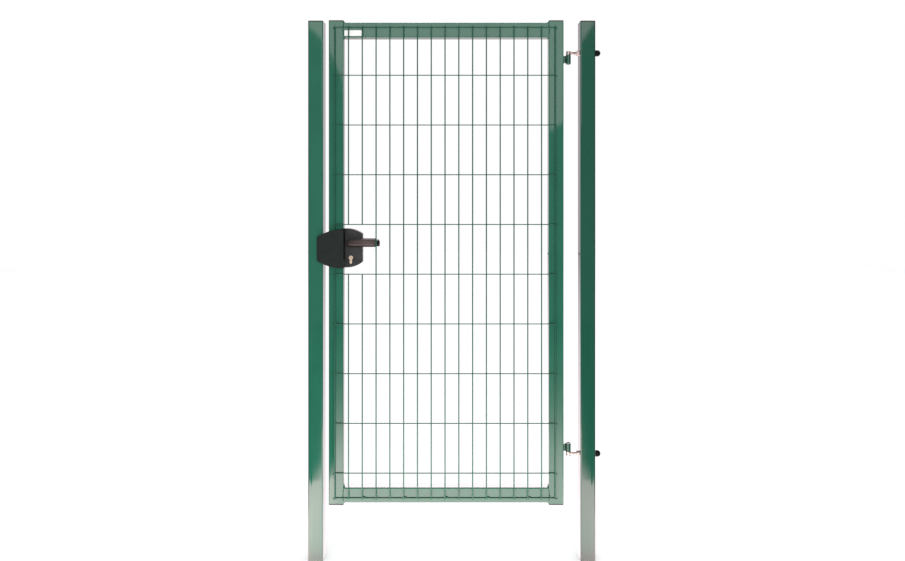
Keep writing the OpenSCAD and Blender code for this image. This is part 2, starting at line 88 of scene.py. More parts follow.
class NodeBench:
    """A node tree that is wired up one node at a time."""

    def __init__(self, tree: bpy.types.NodeTree) -> None:
        """Empties a tree to build on.

        Args:
            tree: Node tree of a material or of the world.
        """
        self.tree = tree
        tree.nodes.clear()

    def add(self, kind: str, feeds: dict | None = None, **settings: object) -> bpy.types.Node:
        """Adds a node.

        Args:
            kind: Node type, such as ShaderNodeBump.
            feeds: Socket name or number to a constant, or to the output that feeds it.
            settings: Node properties.

        Returns:
            The new node.
        """
        node = self.tree.nodes.new(kind)
        for name, value in settings.items():
            setattr(node, name, value)
        for key, value in (feeds or {}).items():
            if isinstance(value, bpy.types.NodeSocket):
                self.tree.links.new(value, node.inputs[key])
            else:
                node.inputs[key].default_value = value
        return node

    def place(self, stretch: Colour = (1.0, 1.0, 1.0)) -> bpy.types.NodeSocket:
        """Gives points on the piece in metres.

        Args:
            stretch: Factor on each axis; a small one draws a pattern out along that axis.

        Returns:
            The vector output.
        """
        points = self.add("ShaderNodeTexCoord").outputs["Object"]
        if stretch == (1.0, 1.0, 1.0):
            return points
        return self.add("ShaderNodeMapping", {"Vector": points, "Scale": stretch}).outputs[0]

    def noise(self, points: bpy.types.NodeSocket, scale: float, detail: float = 2.0) -> bpy.types.NodeSocket:
        """Adds cloudy noise.

        Args:
            points: Where the noise is read.
            scale: Clouds per metre.
            detail: Number of finer layers.

        Returns:
            The noise, about 0.5 on average.
        """
        return self.add("ShaderNodeTexNoise", {"Vector": points, "Scale": scale, "Detail": detail}).outputs[0]

    def span(self, value: bpy.types.NodeSocket, low: float, high: float) -> bpy.types.NodeSocket:
        """Spreads a noise over a range.

        Args:
            value: The noise.
            low: Result where the noise is 0.3.
            high: Result where the noise is 0.7.

        Returns:
            The value in its range.
        """
        return self.ramp(value, 0.3, 0.7, low, high)

    def ramp(
        self,
        value: bpy.types.NodeSocket,
        start: float,
        end: float,
        low: float = 0.0,
        high: float = 1.0,
        soft: bool = False,
    ) -> bpy.types.NodeSocket:
        """Leads a value from one number to another.

        Args:
            value: Output that is read.
            start: Where the ramp starts.
            end: Where it ends.
            low: Result up to its start.
            high: Result past its end.
            soft: Whether it starts and ends softly.

        Returns:
            The result.
        """
        return self.add(
            "ShaderNodeMapRange",
            {"Value": value, "From Min": start, "From Max": end, "To Min": low, "To Max": high},
            interpolation_type="SMOOTHSTEP" if soft else "LINEAR",
        ).outputs[0]

    def math(self, operation: str, first: object, second: object) -> bpy.types.NodeSocket:
        """Calculates with two values.

        Args:
            operation: What to do, such as MULTIPLY.
            first: First number or output.
            second: Second number or output.

        Returns:
            The result.
        """
        return self.add("ShaderNodeMath", {0: first, 1: second}, operation=operation).outputs[0]

    def blend(self, share: object, first: object, second: object) -> bpy.types.NodeSocket:
        """Mixes two colours.

        Args:
            share: Share of the second one, a number or an output.
            first: Colour or output at share 0.
            second: Colour or output at share 1.

        Returns:
            The mixed colour.
        """
        node = self.add("ShaderNodeMix", data_type="RGBA")
        for key, value in ((0, share), (6, first), (7, second)):
            if isinstance(value, bpy.types.NodeSocket):
                self.tree.links.new(value, node.inputs[key])
            else:
                node.inputs[key].default_value = (*value, 1.0) if isinstance(value, tuple) else value
        return node.outputs[2]

    def bump(
        self, height: bpy.types.NodeSocket, depth: float, under: bpy.types.NodeSocket | None = None
    ) -> bpy.types.NodeSocket:
        """Turns a height into a tilted normal.

        Args:
            height: Height from 0 to 1.
            depth: What a height of 1 means, in metres.
            under: Normal that this one is laid over.

        Returns:
            The normal.
        """
        feeds = {"Height": height, "Distance": depth, "Strength": 1.0}
        if under is not None:
            feeds["Normal"] = under
        return self.add("ShaderNodeBump", feeds).outputs[0]


def shade(colour: Colour, factor: float) -> Colour:
    """Makes a colour lighter or darker by a factor."""
    return (colour[0] * factor, colour[1] * factor, colour[2] * factor)


def surface(name: str) -> tuple[bpy.types.Material, NodeBench]:
    """Starts a material.

    Args:
        name: Name of the material.

    Returns:
        The material and the bench for its nodes.
    """
    material = bpy.data.materials.new(name)
    material.use_nodes = True
    return material, NodeBench(material.node_tree)


def close_surface(bench: NodeBench, feeds: dict) -> None:
    """Ends a material in one Principled shader.

    Args:
        bench: Bench with the nodes made so far.
        feeds: The shader's sockets.
    """
    shader = bench.add("ShaderNodeBsdfPrincipled", feeds)
    bench.add("ShaderNodeOutputMaterial", {"Surface": shader.outputs[0]})


@dataclass(frozen=True)
class TubeWall:
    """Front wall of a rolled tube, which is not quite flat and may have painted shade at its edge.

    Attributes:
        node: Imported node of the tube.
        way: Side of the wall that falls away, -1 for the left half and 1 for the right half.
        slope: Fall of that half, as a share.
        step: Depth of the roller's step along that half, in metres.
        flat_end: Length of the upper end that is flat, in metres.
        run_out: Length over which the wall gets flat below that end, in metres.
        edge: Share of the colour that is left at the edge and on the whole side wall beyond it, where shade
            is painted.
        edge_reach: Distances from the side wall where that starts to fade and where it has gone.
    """

    node: str
    way: int
    slope: float = 0.0
    step: float = 0.0
    flat_end: float = 0.0
    run_out: float = 0.35
    edge: float = 1.0
    edge_reach: Sequence[float] = (0.0032, 0.0052)

    def edge_shade(self, bench: NodeBench, place: bpy.types.NodeOutputs) -> bpy.types.NodeSocket:
        """Finds the edge of the wall, together with the side wall beyond it, where shade is painted.

        Args:
            bench: Bench of the material.
            place: Outputs X, Y and Z of the point.

        Returns:
            1 at the edge and on that side wall, and 0 away from them.
        """
        low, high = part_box(self.node)
        edge = high.x if self.way == 1 else low.x
        away = bench.math("ABSOLUTE", bench.math("SUBTRACT", place["X"], edge), 0.0)
        return bench.ramp(away, *self.edge_reach, 1.0, 0.0)

    def height(self, bench: NodeBench, place: bpy.types.NodeOutputs) -> bpy.types.NodeSocket:
        """Works out how far the wall falls behind a flat one, which is nothing beside the tube.

        Args:
            bench: Bench of the material.
            place: Outputs X, Y and Z of the point.

        Returns:
            The height in metres, at most 0.
        """
        low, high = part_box(self.node)
        middle, half = (low.x + high.x) / 2, (high.x - low.x) / 2
        offset = bench.math("MULTIPLY", bench.math("SUBTRACT", place["X"], middle), self.way / half)
        outside = bench.math("LESS_THAN", offset, 1.05)
        tilted = bench.math("MAXIMUM", bench.math("SUBTRACT", offset, 0.1), 0.0)
        fall = bench.math("MULTIPLY", tilted, -self.slope * half)
        step = bench.ramp(offset, 0.42, 0.62, 0.0, -self.step, soft=True)
        height = bench.math("MULTIPLY", bench.math("ADD", fall, step), outside)
        if self.flat_end == 0.0:
            return height
        end = high.z - self.flat_end
        sunk = bench.ramp(place["Z"], end - self.run_out, end, 1.0, 0.0)
        return bench.math("MULTIPLY", height, sunk)


@dataclass(frozen=True)
class PowderCoat:
    """Moss green powder coat, baked on steel: semi-gloss, with the fine peel that powder leaves.

    Attributes:
        name: Name of the material.
        colour: Body colour.
        drift: Share by which the colour wanders along a tube.
        sheen: Least and greatest roughness.
        peel_scale: Dimples of the peel per metre.
        peel_depth: Depth of the peel in metres.
        wave_depth: Depth of the long waves of the tube walls in metres.
        shine: Strength of its highlights, where 0.5 is that of smooth paint.
        walls: Tube walls that are not quite flat.
        shade_from: Node at whose left side shade is painted on the coat, or None.
        deep: Share of the colour that is left in that painted shade.
        painted_shade: Attribute that is 1 where shade is painted in a crevice, or None.
    """

    name: str
    colour: Colour
    drift: float = 0.06
    sheen: tuple[float, float] = (0.035, 0.07)
    peel_scale: float = 420.0
    peel_depth: float = 0.000012
    wave_depth: float = 0.00012
    shine: float = 0.5
    walls: tuple[TubeWall, ...] = ()
    shade_from: str | None = None
    deep: float = 0.66
    painted_shade: str | None = None

    def material(self) -> bpy.types.Material:
        """Builds the material.

        Returns:
            The finished material.
        """
        made, bench = surface(self.name)
        points = bench.place()
        clouds = bench.noise(points, 9.0, 3.0)
        specks = bench.noise(points, 900.0, 1.0)
        dull, fresh = shade(self.colour, 1 - self.drift), shade(self.colour, 1 + self.drift)
        drifted = bench.blend(bench.span(clouds, 0.0, 1.0), dull, fresh)
        body = bench.blend(bench.span(specks, 0.0, 0.10), drifted, shade(self.colour, 1.35))
        place = bench.add("ShaderNodeSeparateXYZ", {0: points}).outputs
        if self.shade_from is not None:
            # Painted shade: the hinge plates, their sockets and the hinge post are painted darker.
            deeper = bench.math("GREATER_THAN", place["X"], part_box(self.shade_from)[0].x + 0.0005)
            body = bench.blend(deeper, body, shade(self.colour, self.deep))
        if self.painted_shade is not None:
            # Painted shade: near black where shadow falls on the wires and tacks that lie on the tubes.
            lies = bench.add("ShaderNodeAttribute", attribute_name=self.painted_shade).outputs["Fac"]
            body = bench.blend(lies, body, shade(self.colour, 0.06))
        relief = None
        for wall in self.walls:
            relief = bench.bump(wall.height(bench, place), 1.0, relief)
            if wall.edge < 1.0:
                # Painted shade on the tube's edge and on the side wall beyond it.
                body = bench.blend(wall.edge_shade(bench, place), body, shade(self.colour, wall.edge))
        waves = bench.bump(bench.noise(bench.place((1.0, 1.0, 0.25)), 11.0, 1.0), self.wave_depth, relief)
        peel = bench.bump(bench.noise(points, self.peel_scale, 2.0), self.peel_depth, waves)
        close_surface(
            bench,
            {
                "Base Color": body,
                "Roughness": bench.span(bench.noise(points, 35.0, 3.0), *self.sheen),
                "IOR": 1.5,
                "Specular IOR Level": self.shine,
                "Normal": peel,
            },
        )
        return made


@dataclass(frozen=True)
class MouldedPlastic:
    """Moulded plastic with a fine spark-eroded grain.

    Attributes:
        name: Name of the material.
        colour: Body colour.
        roughness: Roughness of the grained face.
        grain_scale: Grains per metre.
        grain_depth: Depth of the grain in metres.
        scuff: Share by which rubbed places are lighter.
        shine: Strength of its highlights, where 0.5 is that of smooth plastic.
        grip: Node of a grip whose lower edge has a rolled lip, with shade painted under it and towards the
            grip's ends, and whose end is a darker plug, or None.
        lip: Height of the lip below the middle of the grip, half its width and its depth.
        plug: Length of the plug.
        keel: Height of the undercut below the lip.
        shell: Node of a shell whose sides and back are painted with shade, darker than its front, or None.
        rim: Depths behind the front where that starts and where it is full, in metres.
        rim_shade_share: Share of the colour that is left there, as painted shade.
        band: Heights over the foot of the shell where the shading tilts, in metres.
        bright_offset: Distance of the grip's unshaded middle from its centre.
        shade_fade: Half the width of the unshaded middle, bare and with its fade into painted shade.
        end_shade: Share of the colour that is left beside the unshaded middle, as painted shade.
        under_shade_and_plug: Share of the colour that is left under the lip, as painted shade, and on the
            plug, as its own darker colour.
    """

    name: str
    colour: Colour
    roughness: float
    grain_scale: float = 1300.0
    grain_depth: float = 0.00003
    scuff: float = 0.25
    shine: float = 0.12
    grip: str | None = None
    lip: Colour = (0.0062, 0.0018, 0.0038)
    plug: float = 0.0145
    keel: float = 0.0044
    shell: str | None = None
    rim: Sequence[float] = (0.0004, 0.0016)
    rim_shade_share: float = 0.3
    band: Sequence[float] = (0.015, 0.04)
    bright_offset: float = 0.018
    shade_fade: Sequence[float] = (0.005, 0.070)
    end_shade: float = 0.45
    under_shade_and_plug: float = 0.06

    def material(self) -> bpy.types.Material:
        """Builds the material.

        Returns:
            The finished material.
        """
        made, bench = surface(self.name)
        points = bench.place()
        rubbed = bench.span(bench.noise(points, 45.0, 4.0), 0.0, 1.0)
        cells = bench.add("ShaderNodeTexVoronoi", {"Vector": points, "Scale": self.grain_scale})
        body, formed = bench.blend(rubbed, self.colour, shade(self.colour, 1 + self.scuff)), None
        place = bench.add("ShaderNodeSeparateXYZ", {0: points}).outputs
        if self.grip is not None:
            body, formed = self.gripped(bench, place, body)
        if self.shell is not None:
            body, formed = self.shouldered(bench, place, body)
        tooth = bench.noise(points, 120.0, 2.0)
        grain = bench.bump(cells.outputs["Distance"], self.grain_depth, formed)
        close_surface(
            bench,
            {
                "Base Color": body,
                "Roughness": bench.span(tooth, self.roughness - 0.05, self.roughness + 0.05),
                "Specular IOR Level": self.shine,
                "Normal": grain,
            },
        )
        return made

    def gripped(
        self, bench: NodeBench, place: bpy.types.NodeOutputs, body: bpy.types.NodeSocket
    ) -> tuple[bpy.types.NodeSocket, bpy.types.NodeSocket]:
        """Gives a grip its lip, the undercut below it with painted shade, painted shade towards its ends, and
        the plug.

        Args:
            bench: Bench of the material.
            place: Outputs X, Y and Z of the point.
            body: Colour so far.

        Returns:
            The colour and the normal.
        """
        low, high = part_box(self.grip)
        line = (low.z + high.z) / 2 - self.lip[0]
        rise = bench.ramp(place["Z"], line - self.lip[1], line + self.lip[1], soft=True)
        fall = bench.ramp(place["Z"], low.z, low.z + self.keel, 1.0, 0.0)
        rolled = bench.bump(fall, self.keel * 1.2, bench.bump(rise, self.lip[2]))
        bright_middle = (low.x + high.x) / 2 + self.bright_offset
        off = bench.math("ABSOLUTE", bench.math("SUBTRACT", place["X"], bright_middle), 0.0)
        # Painted shade: the grip darkens away from its middle towards both ends.
        body = bench.blend(bench.ramp(off, *self.shade_fade), body, shade(self.colour, self.end_shade))
        # Painted shade under the lip; the plug at the end is darker in its own colour.
        under = bench.math("LESS_THAN", place["Z"], low.z + self.keel)
        plugged = bench.math("GREATER_THAN", place["X"], high.x - self.plug)
        dark = bench.math("MAXIMUM", under, plugged)
        return bench.blend(dark, body, shade(self.colour, self.under_shade_and_plug)), rolled

    def shouldered(
        self, bench: NodeBench, place: bpy.types.NodeOutputs, body: bpy.types.NodeSocket
    ) -> tuple[bpy.types.NodeSocket, bpy.types.NodeSocket]:
        """Paints shade on what lies behind a shell's front, and tilts the shading of a band low on it.

        Depth is measured from the middle of the rail. So a shell that lies wholly behind that is not
        darkened anywhere, and the band is the stronger the further back the face lies.

        Args:
            bench: Bench of the material.
            place: Outputs X, Y and Z of the point.
            body: Colour so far.

        Returns:
            The colour and the normal.
        """
        low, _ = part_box(self.shell)
        front, back = (corner.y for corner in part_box("top_rail"))
        centre = (front + back) / 2
        away = bench.math("ABSOLUTE", bench.math("SUBTRACT", place["Y"], centre), 0.0)
        sunk = bench.math("SUBTRACT", centre - low.y, away)
        start, end = (low.z + height for height in self.band)
        upper = bench.ramp(place["Z"], start, end, soft=True)
        # Painted shade on the shell's sides and back, above a band at its foot.
        dark = bench.math("MULTIPLY", bench.ramp(sunk, *self.rim), upper)
        rounded = bench.bump(bench.math("MULTIPLY", sunk, upper), 1.0)
        return bench.blend(dark, body, shade(self.colour, self.rim_shade_share)), rounded


@dataclass(frozen=True)
class BareMetal:
    """Plated or turned metal, with the marks of its making.

    Attributes:
        name: Name of the material.
        colour: Colour that the metal reflects.
        roughness: Middle of its roughness.
        marks: Stretch of the marks on each axis.
        marks_scale: Marks per metre.
        marks_depth: Depth of the marks in metres.
        metal: Share that looks like bare metal; the rest is bloomed over.
    """

    name: str
    colour: Colour
    roughness: float
    marks: Colour = (1.0, 1.0, 1.0)
    marks_scale: float = 600.0
    marks_depth: float = 0.000008
    metal: float = 1.0

    def material(self) -> bpy.types.Material:
        """Builds the material.

        Returns:
            The finished material.
        """
        made, bench = surface(self.name)
        marks = bench.noise(bench.place(self.marks), self.marks_scale, 3.0)
        bloom = bench.noise(bench.place(), 160.0, 3.0)
        close_surface(
            bench,
            {
                "Base Color": bench.blend(bench.span(bloom, 0.0, 1.0), shade(self.colour, 0.86), self.colour),
                "Metallic": self.metal,
                "Roughness": bench.span(marks, self.roughness - 0.07, self.roughness + 0.07),
                "Normal": bench.bump(marks, self.marks_depth),
            },
        )
        return made


@dataclass(frozen=True)
class LabelFilm:
    """White film of a stuck-on label that carries nothing.

    Attributes:
        name: Name of the material.
        colour: Colour of the film.
    """

    name: str = "label_film_white"
    colour: Colour = (0.86, 0.86, 0.85)

    def material(self) -> bpy.types.Material:
        """Builds the material.

        Returns:
            The finished material.
        """
        made, bench = surface(self.name)
        points = bench.place()
        stain = bench.span(bench.noise(points, 60.0, 4.0), 0.0, 0.5)
        ripple = bench.bump(bench.noise(points, 70.0, 1.0), 0.00008)
        close_surface(
            bench,
            {
                "Base Color": bench.blend(stain, self.colour, shade(self.colour, 0.93)),
                "Roughness": bench.span(bench.noise(points, 300.0, 1.0), 0.28, 0.38),
                "IOR": 1.46,
                "Normal": ripple,
            },
        )
        return made


@dataclass(frozen=True)
class Finishes:
    """Materials of the whole gate, one for each slot."""

    materials: dict[Slot, bpy.types.Material]

    @staticmethod
    def mixed() -> "Finishes":
        """Builds every finish of the gate.

        Returns:
            The finishes.
        """
        moss = (0.019, 0.120, 0.075)
        walls = (
            TubeWall("latch_post", -1, step=0.0005, flat_end=0.35, edge=0.15),
            TubeWall("hinge_post", 1, step=0.0005, flat_end=0.35, edge=0.15),
            TubeWall("latch_stile", -1, slope=0.043, flat_end=0.2),
            TubeWall("upper_socket_plate", 1, slope=0.25),
        )
        mixes = {
            Slot.GREEN_COAT: PowderCoat(
                "powder_coat_moss", moss, walls=walls, shade_from="upper_socket_plate"
            ),
            Slot.MESH_COAT: PowderCoat(
                "wire_coat_moss",
                shade(moss, 0.82),
                sheen=(0.40, 0.48),
                wave_depth=0.00001,
                shine=0.22,
                painted_shade=WireMesh.painted_shade,
            ),
            Slot.CAP_PLASTIC: MouldedPlastic(
                "cap_plastic_black", (0.010, 0.012, 0.011), 0.30, grain_depth=0.000008, shine=0.02
            ),
            Slot.ZINC_PLATE: BareMetal("zinc_plate_bright", (0.68, 0.61, 0.58), 0.50),
            Slot.COVER_PLASTIC: MouldedPlastic(
                "cover_plastic_grained", (0.013, 0.017, 0.016), 0.55, shine=0.10, shell="lock_cover"
            ),
            Slot.CASE_PLASTIC: MouldedPlastic(
                "case_plastic_grained", (0.040, 0.041, 0.041), 0.48, shine=0.07, shell="lock_case"
            ),
            Slot.LEVER_PLASTIC: MouldedPlastic(
                "lever_plastic_brown",
                (0.074, 0.054, 0.052),
                0.34,
                grain_depth=0.00001,
                shine=0.28,
                grip="front_lever",
            ),
            Slot.CYLINDER_BRASS: BareMetal("cylinder_brass_satin", (0.80, 0.66, 0.50), 0.42, metal=0.45),
            Slot.LABEL_FILM: LabelFilm(),
            Slot.BOLT_STEEL: BareMetal("bolt_steel_ground", (0.58, 0.58, 0.58), 0.32, (0.15, 1.0, 1.0)),
        }
        return Finishes({slot: mix.material() for slot, mix in mixes.items()})

    def of(self, slot: Slot) -> bpy.types.Material:
        """Gives a slot's material."""
        return self.materials[slot]

    def dress(self) -> int:
        """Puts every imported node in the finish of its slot.

        Returns:
            How many nodes were dressed.
        """
        rows = frame["record"]["subparts"]
        for row in rows:
            for material_slot in frame["nodes"][row["node"]].material_slots:
                material_slot.material = self.of(Slot(row["material_slot"]))
        return len(rows)


# ---- Meshes ----


class Workpiece:
    """A new piece in the making, in metres and in the gate's own frame."""

    def __init__(self) -> None:
        """Starts with an empty mesh."""
        self.bm = bmesh.new()

    def turned(self, profile: Sequence[tuple[float, float]], foot: Vector, along: Vector, sides: int) -> None:
        """Turns a profile round an axis.

        Args:
            profile: Radius and distance along the axis, from one pole to the other.
            foot: Point on the axis where the distance is 0.
            along: Direction of the axis.
            sides: Sides of the round.
        """
        seat = Matrix.Translation(foot) @ along.to_track_quat("Z", "Y").to_matrix().to_4x4()
        points = [self.bm.verts.new(seat @ Vector((radius, 0, height))) for radius, height in profile]
        edges = [self.bm.edges.new(pair) for pair in zip(points, points[1:])]
        bmesh.ops.spin(
            self.bm,
            geom=points + edges,
            cent=foot,
            axis=along,
            angle=2 * math.pi,
            steps=sides,
            use_merge=True,
        )

    def swept(self, line: Sequence[Vector], radii: Sequence[float], sides: int) -> None:
        """Sweeps a round section along a line and closes both ends.

        Args:
            line: Points of the centre line.
            radii: Radius at each point.
            sides: Sides of the section.
        """
        last = len(line) - 1
        seats = []
        for i, point in enumerate(line):
            heading = (line[min(i + 1, last)] - line[max(i - 1, 0)]).normalized()
            turn = heading.to_track_quat("Z", "Y").to_matrix().to_4x4()
            seats.append(Matrix.Translation(point) @ turn @ Matrix.Scale(radii[i], 4))
        ring = bmesh.ops.create_circle(self.bm, segments=sides, radius=1.0, matrix=seats[0])["verts"]
        edges = list({edge for vert in ring for edge in vert.link_edges})
        bmesh.ops.contextual_create(self.bm, geom=edges)
        for before, after in zip(seats, seats[1:]):
            grown = bmesh.ops.extrude_edge_only(self.bm, edges=edges)["geom"]
            ring = [item for item in grown if isinstance(item, bmesh.types.BMVert)]
            new = set(ring)
            grown_edges = (item for item in grown if isinstance(item, bmesh.types.BMEdge))
            edges = [edge for edge in grown_edges if set(edge.verts) <= new]
            bmesh.ops.transform(self.bm, matrix=after @ before.inverted(), verts=ring)
        bmesh.ops.contextual_create(self.bm, geom=edges)

    def bead(self, centre: Vector, reach: Colour, sides: int = 8, rows: int = 5) -> None:
        """Sets down a melted bead.

        Args:
            centre: Middle of the bead.
            reach: Half its size on each axis.
            sides: Sides round the bead.
            rows: Rows of faces from pole to pole.
        """
        seat = Matrix.Translation(centre) @ Matrix.Diagonal((*reach, 1.0))
        bmesh.ops.create_uvsphere(self.bm, u_segments=sides, v_segments=rows, radius=1.0, matrix=seat)

    def finish(
        self, name: str, body: Body, slot: Slot, finishes: Finishes, crease: float = 40.0
    ) -> bpy.types.Object:
        """Closes the mesh and makes it a piece of the gate.

        Args:
            name: Name of the piece.
            body: Body that it rides on.
            slot: Slot that it takes its finish from.
            finishes: The gate's finishes.
            crease: Angle in degrees past which an edge stays sharp.

        Returns:
            The piece.
        """
        bmesh.ops.remove_doubles(self.bm, verts=self.bm.verts, dist=1e-6)
        bmesh.ops.recalc_face_normals(self.bm, faces=self.bm.faces)
        for face in self.bm.faces:
            face.smooth = True
        for edge in self.bm.edges:
            if len(edge.link_faces) == 2:
                edge.smooth = edge.calc_face_angle() < math.radians(crease)
        mesh = bpy.data.meshes.new(name)
        self.bm.to_mesh(mesh)
        self.bm.free()
        mesh.materials.append(finishes.of(slot))
        piece = bpy.data.objects.new(name, mesh)
        bpy.context.scene.collection.objects.link(piece)
        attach(piece, body.value)
        LOG.info("%s: %d faces on %s", name, len(mesh.polygons), body.value)
        return piece


def rod_profile(radius: float, length: float, rounding: float) -> list[tuple[float, float]]:
    """Works out the profile of a rod with rounded ends.

    Args:
        radius: Radius of the rod.
        length: Length over all.
        rounding: Radius of the rounding.

    Returns:
        Radius and distance along the rod, from pole to pole.
    """
    corner = [
        (radius - rounding * (1 - math.sin(turn)), rounding * (1 - math.cos(turn)))
        for turn in (0.0, math.pi / 4, math.pi / 2)
    ]
    far_corner = [(reach, length - height) for reach, height in reversed(corner)]
    return [(0.0, 0.0), *corner, *far_corner, (0.0, length)]


# ---- Sub-assemblies ----


@dataclass
class WireMesh:
    """Welded mesh of round coated wires, which lies on the front of the leaf's frame.

    Attributes:
        upright_d: Diameter of an upright wire.
        cross_d: Diameter of a cross wire.
        melt: How far the wires sink into each other where they are welded.
        uprights: Number of upright wires.
        cross_over: Length of a cross wire past the outer upright.
        upright_over: Length of an upright past the outer cross wire.
        row: Height of a row of cells.
        bottom_row: Height of the lowest row.
        case_gap: Upright wires stop at the row's wires if they would pass nearer to the lock case.
        sides: Sides of a round wire.
        end_drop: Least and greatest drop of a cross wire's bent end.
        end_bend: Distance from the end, share of the drop and share of the radius along a bent end.
        tack: Half size of a tack that holds the mesh to the bottom rail.
        tack_place: Place of its middle from an upright, the rail's front and the lowest cross wire.
        tack_every: Number of uprights from one tack to the next.
        end_tack: Half size of a tack on a cross wire's end.
        painted_shade: Attribute that says where shade is painted.
        cross_shade: Painted shade along a cross wire on a tube.
        upright_shade: Painted shade along an upright on a stile.
    """

    painted_shade: ClassVar[str] = "painted_shade"

    upright_d: float = 0.005
    cross_d: float = 0.004
    melt: float = 0.0006
    uprights: int = 17
    cross_over: float = 0.008
    upright_over: float = 0.005
    row: float = 0.2
    bottom_row: float = 0.1
    case_gap: float = 0.008
    sides: int = 12
    end_drop: tuple[float, float] = (0.0025, 0.0055)
    end_bend: tuple[Colour, ...] = (
        (0.0, 1.0, 0.45),
        (0.0007, 0.93, 0.85),
        (0.0018, 0.78, 1.0),
        (0.0045, 0.32, 1.0),
        (0.0075, 0.0, 1.0),
    )
    tack: Colour = (0.0062, 0.0030, 0.0040)
    tack_place: Colour = (0.0070, -0.0016, 0.0022)
    tack_every: int = 3
    end_tack: Colour = (0.0028, 0.0018, 0.0024)
    cross_shade: float = 0.9
    upright_shade: float = 0.6

    def __post_init__(self) -> None:
        """Finds the mesh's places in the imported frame."""
        self.low, self.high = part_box("mesh_panel")
        self.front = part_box("top_rail")[0].y
        self.cross_y = self.front - self.cross_d / 2
        self.upright_y = self.front - self.cross_d - self.upright_d / 2 + self.melt
        self.case_low, self.case_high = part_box("lock_case")
        first = self.low.x + self.cross_over
        pitch = (self.high.x - self.cross_over - first) / (self.uprights - 1)
        self.upright_xs = [first + i * pitch for i in range(self.uprights)]
        bottom = self.low.z + self.upright_over
        top = self.high.z - self.upright_over
        rows = math.floor((top - bottom - self.bottom_row) / self.row)
        self.cross_zs = [bottom, *(bottom + self.bottom_row + i * self.row for i in range(rows + 1)), top]

    def stretches(self, x: float) -> list[tuple[float, float]]:
        """Tells where an upright wire runs.

        Args:
            x: Place of the wire.

        Returns:
            Lower and upper end of each stretch of it.
        """
        if x < self.case_low.x - self.case_gap or x > self.case_high.x + self.case_gap:
            return [(self.low.z, self.high.z)]
        below = max(z for z in self.cross_zs if z < self.case_low.z) + self.cross_d / 2
        above = min(z for z in self.cross_zs if z > self.case_high.z) - self.cross_d / 2
        return [(self.low.z, below), (above, self.high.z)]

    def cross_line(self, z: float, dice: random.Random) -> tuple[list[Vector], list[float]]:
        """Draws a cross wire, whose ends are bent down where they are welded to the stiles.

        Args:
            z: Height of the wire.
            dice: Source of the small differences between the ends.

        Returns:
            Points of the wire and the radius at each.
        """
        radius = self.cross_d / 2
        line, radii = [], []
        for end, way in ((self.low.x, 1), (self.high.x, -1)):
            drop = dice.uniform(*self.end_drop)
            part = []
            for step, share, size in self.end_bend:
                part.append((Vector((end + way * step, self.cross_y, z - drop * share)), radius * size))
            for point, size in part if way == 1 else reversed(part):
                line.append(point)
                radii.append(size)
        return line, radii

    def tack_down(self, work: Workpiece, dice: random.Random) -> None:
        """Tacks the mesh to the bottom rail and to the stiles.

        Args:
            work: Mesh that the tacks are added to.
            dice: Source of their unevenness.
        """
        for x in self.upright_xs[2 :: self.tack_every]:
            place = Vector((x, self.front, self.cross_zs[0])) + Vector(self.tack_place)
            work.bead(place, tuple(reach * dice.uniform(0.9, 1.1) for reach in self.tack), 12, 8)
        for x, way in ((self.low.x, 1), (self.high.x, -1)):
            for z in self.cross_zs:
                place = Vector((x + way * 0.0022, self.front - 0.0006, z - dice.uniform(0.002, 0.004)))
                work.bead(place, self.end_tack, 12, 8)

    def lay_painted_shade(self, work: Workpiece) -> None:
        """Marks where shade is painted: beside and on top of the wires, and of the tacks, along the tubes.

        Args:
            work: Mesh that is marked.
        """
        bmesh.ops.recalc_face_normals(work.bm, faces=work.bm.faces)
        work.bm.normal_update()
        left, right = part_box("latch_stile")[1].x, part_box("hinge_stile")[0].x
        foot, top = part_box("bottom_rail")[1].z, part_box("top_rail")[0].z
        cross_front = self.front - self.cross_d - 0.0001
        layer = work.bm.verts.layers.float.new(self.painted_shade)
        for vert in work.bm.verts:
            spot, normal = vert.co, vert.normal
            # Painted shade goes on faces that turn up or back, where the wires and tacks sit on the tubes.
            on_stile = spot.z < top and (spot.x < left or spot.x > right)
            in_corner = normal.y > -0.75 and normal.z > -0.3
            if spot.y < cross_front:
                vert[layer] = self.upright_shade if on_stile and in_corner else 0.0
            else:
                vert[layer] = self.cross_shade if (on_stile or spot.z < foot) and in_corner else 0.0

    def build(self, finishes: Finishes) -> bpy.types.Object:
        """Welds the mesh.

        Args:
            finishes: The gate's finishes.

        Returns:
            The mesh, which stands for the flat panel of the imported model.
        """
        work = Workpiece()
        dice = random.Random(5)
        for x in self.upright_xs:
            for low, high in self.stretches(x):
                profile = rod_profile(self.upright_d / 2, high - low, 0.0009)
                work.turned(profile, Vector((x, self.upright_y, low)), Vector((0, 0, 1)), self.sides)
        for z in self.cross_zs:
            work.swept(*self.cross_line(z, dice), self.sides)
        between = (self.cross_y + self.upright_y) / 2
        nugget = (self.upright_d * 0.62, self.upright_d * 0.36, self.cross_d * 0.68)
        for x in self.upright_xs:
            for z in self.cross_zs:
                work.bead(Vector((x, between, z)), nugget)
        self.tack_down(work, dice)
        self.lay_painted_shade(work)
        piece = work.finish("wire_mesh", Body.LEAF, Slot.MESH_COAT, finishes)
        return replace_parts(piece, "mesh_panel")


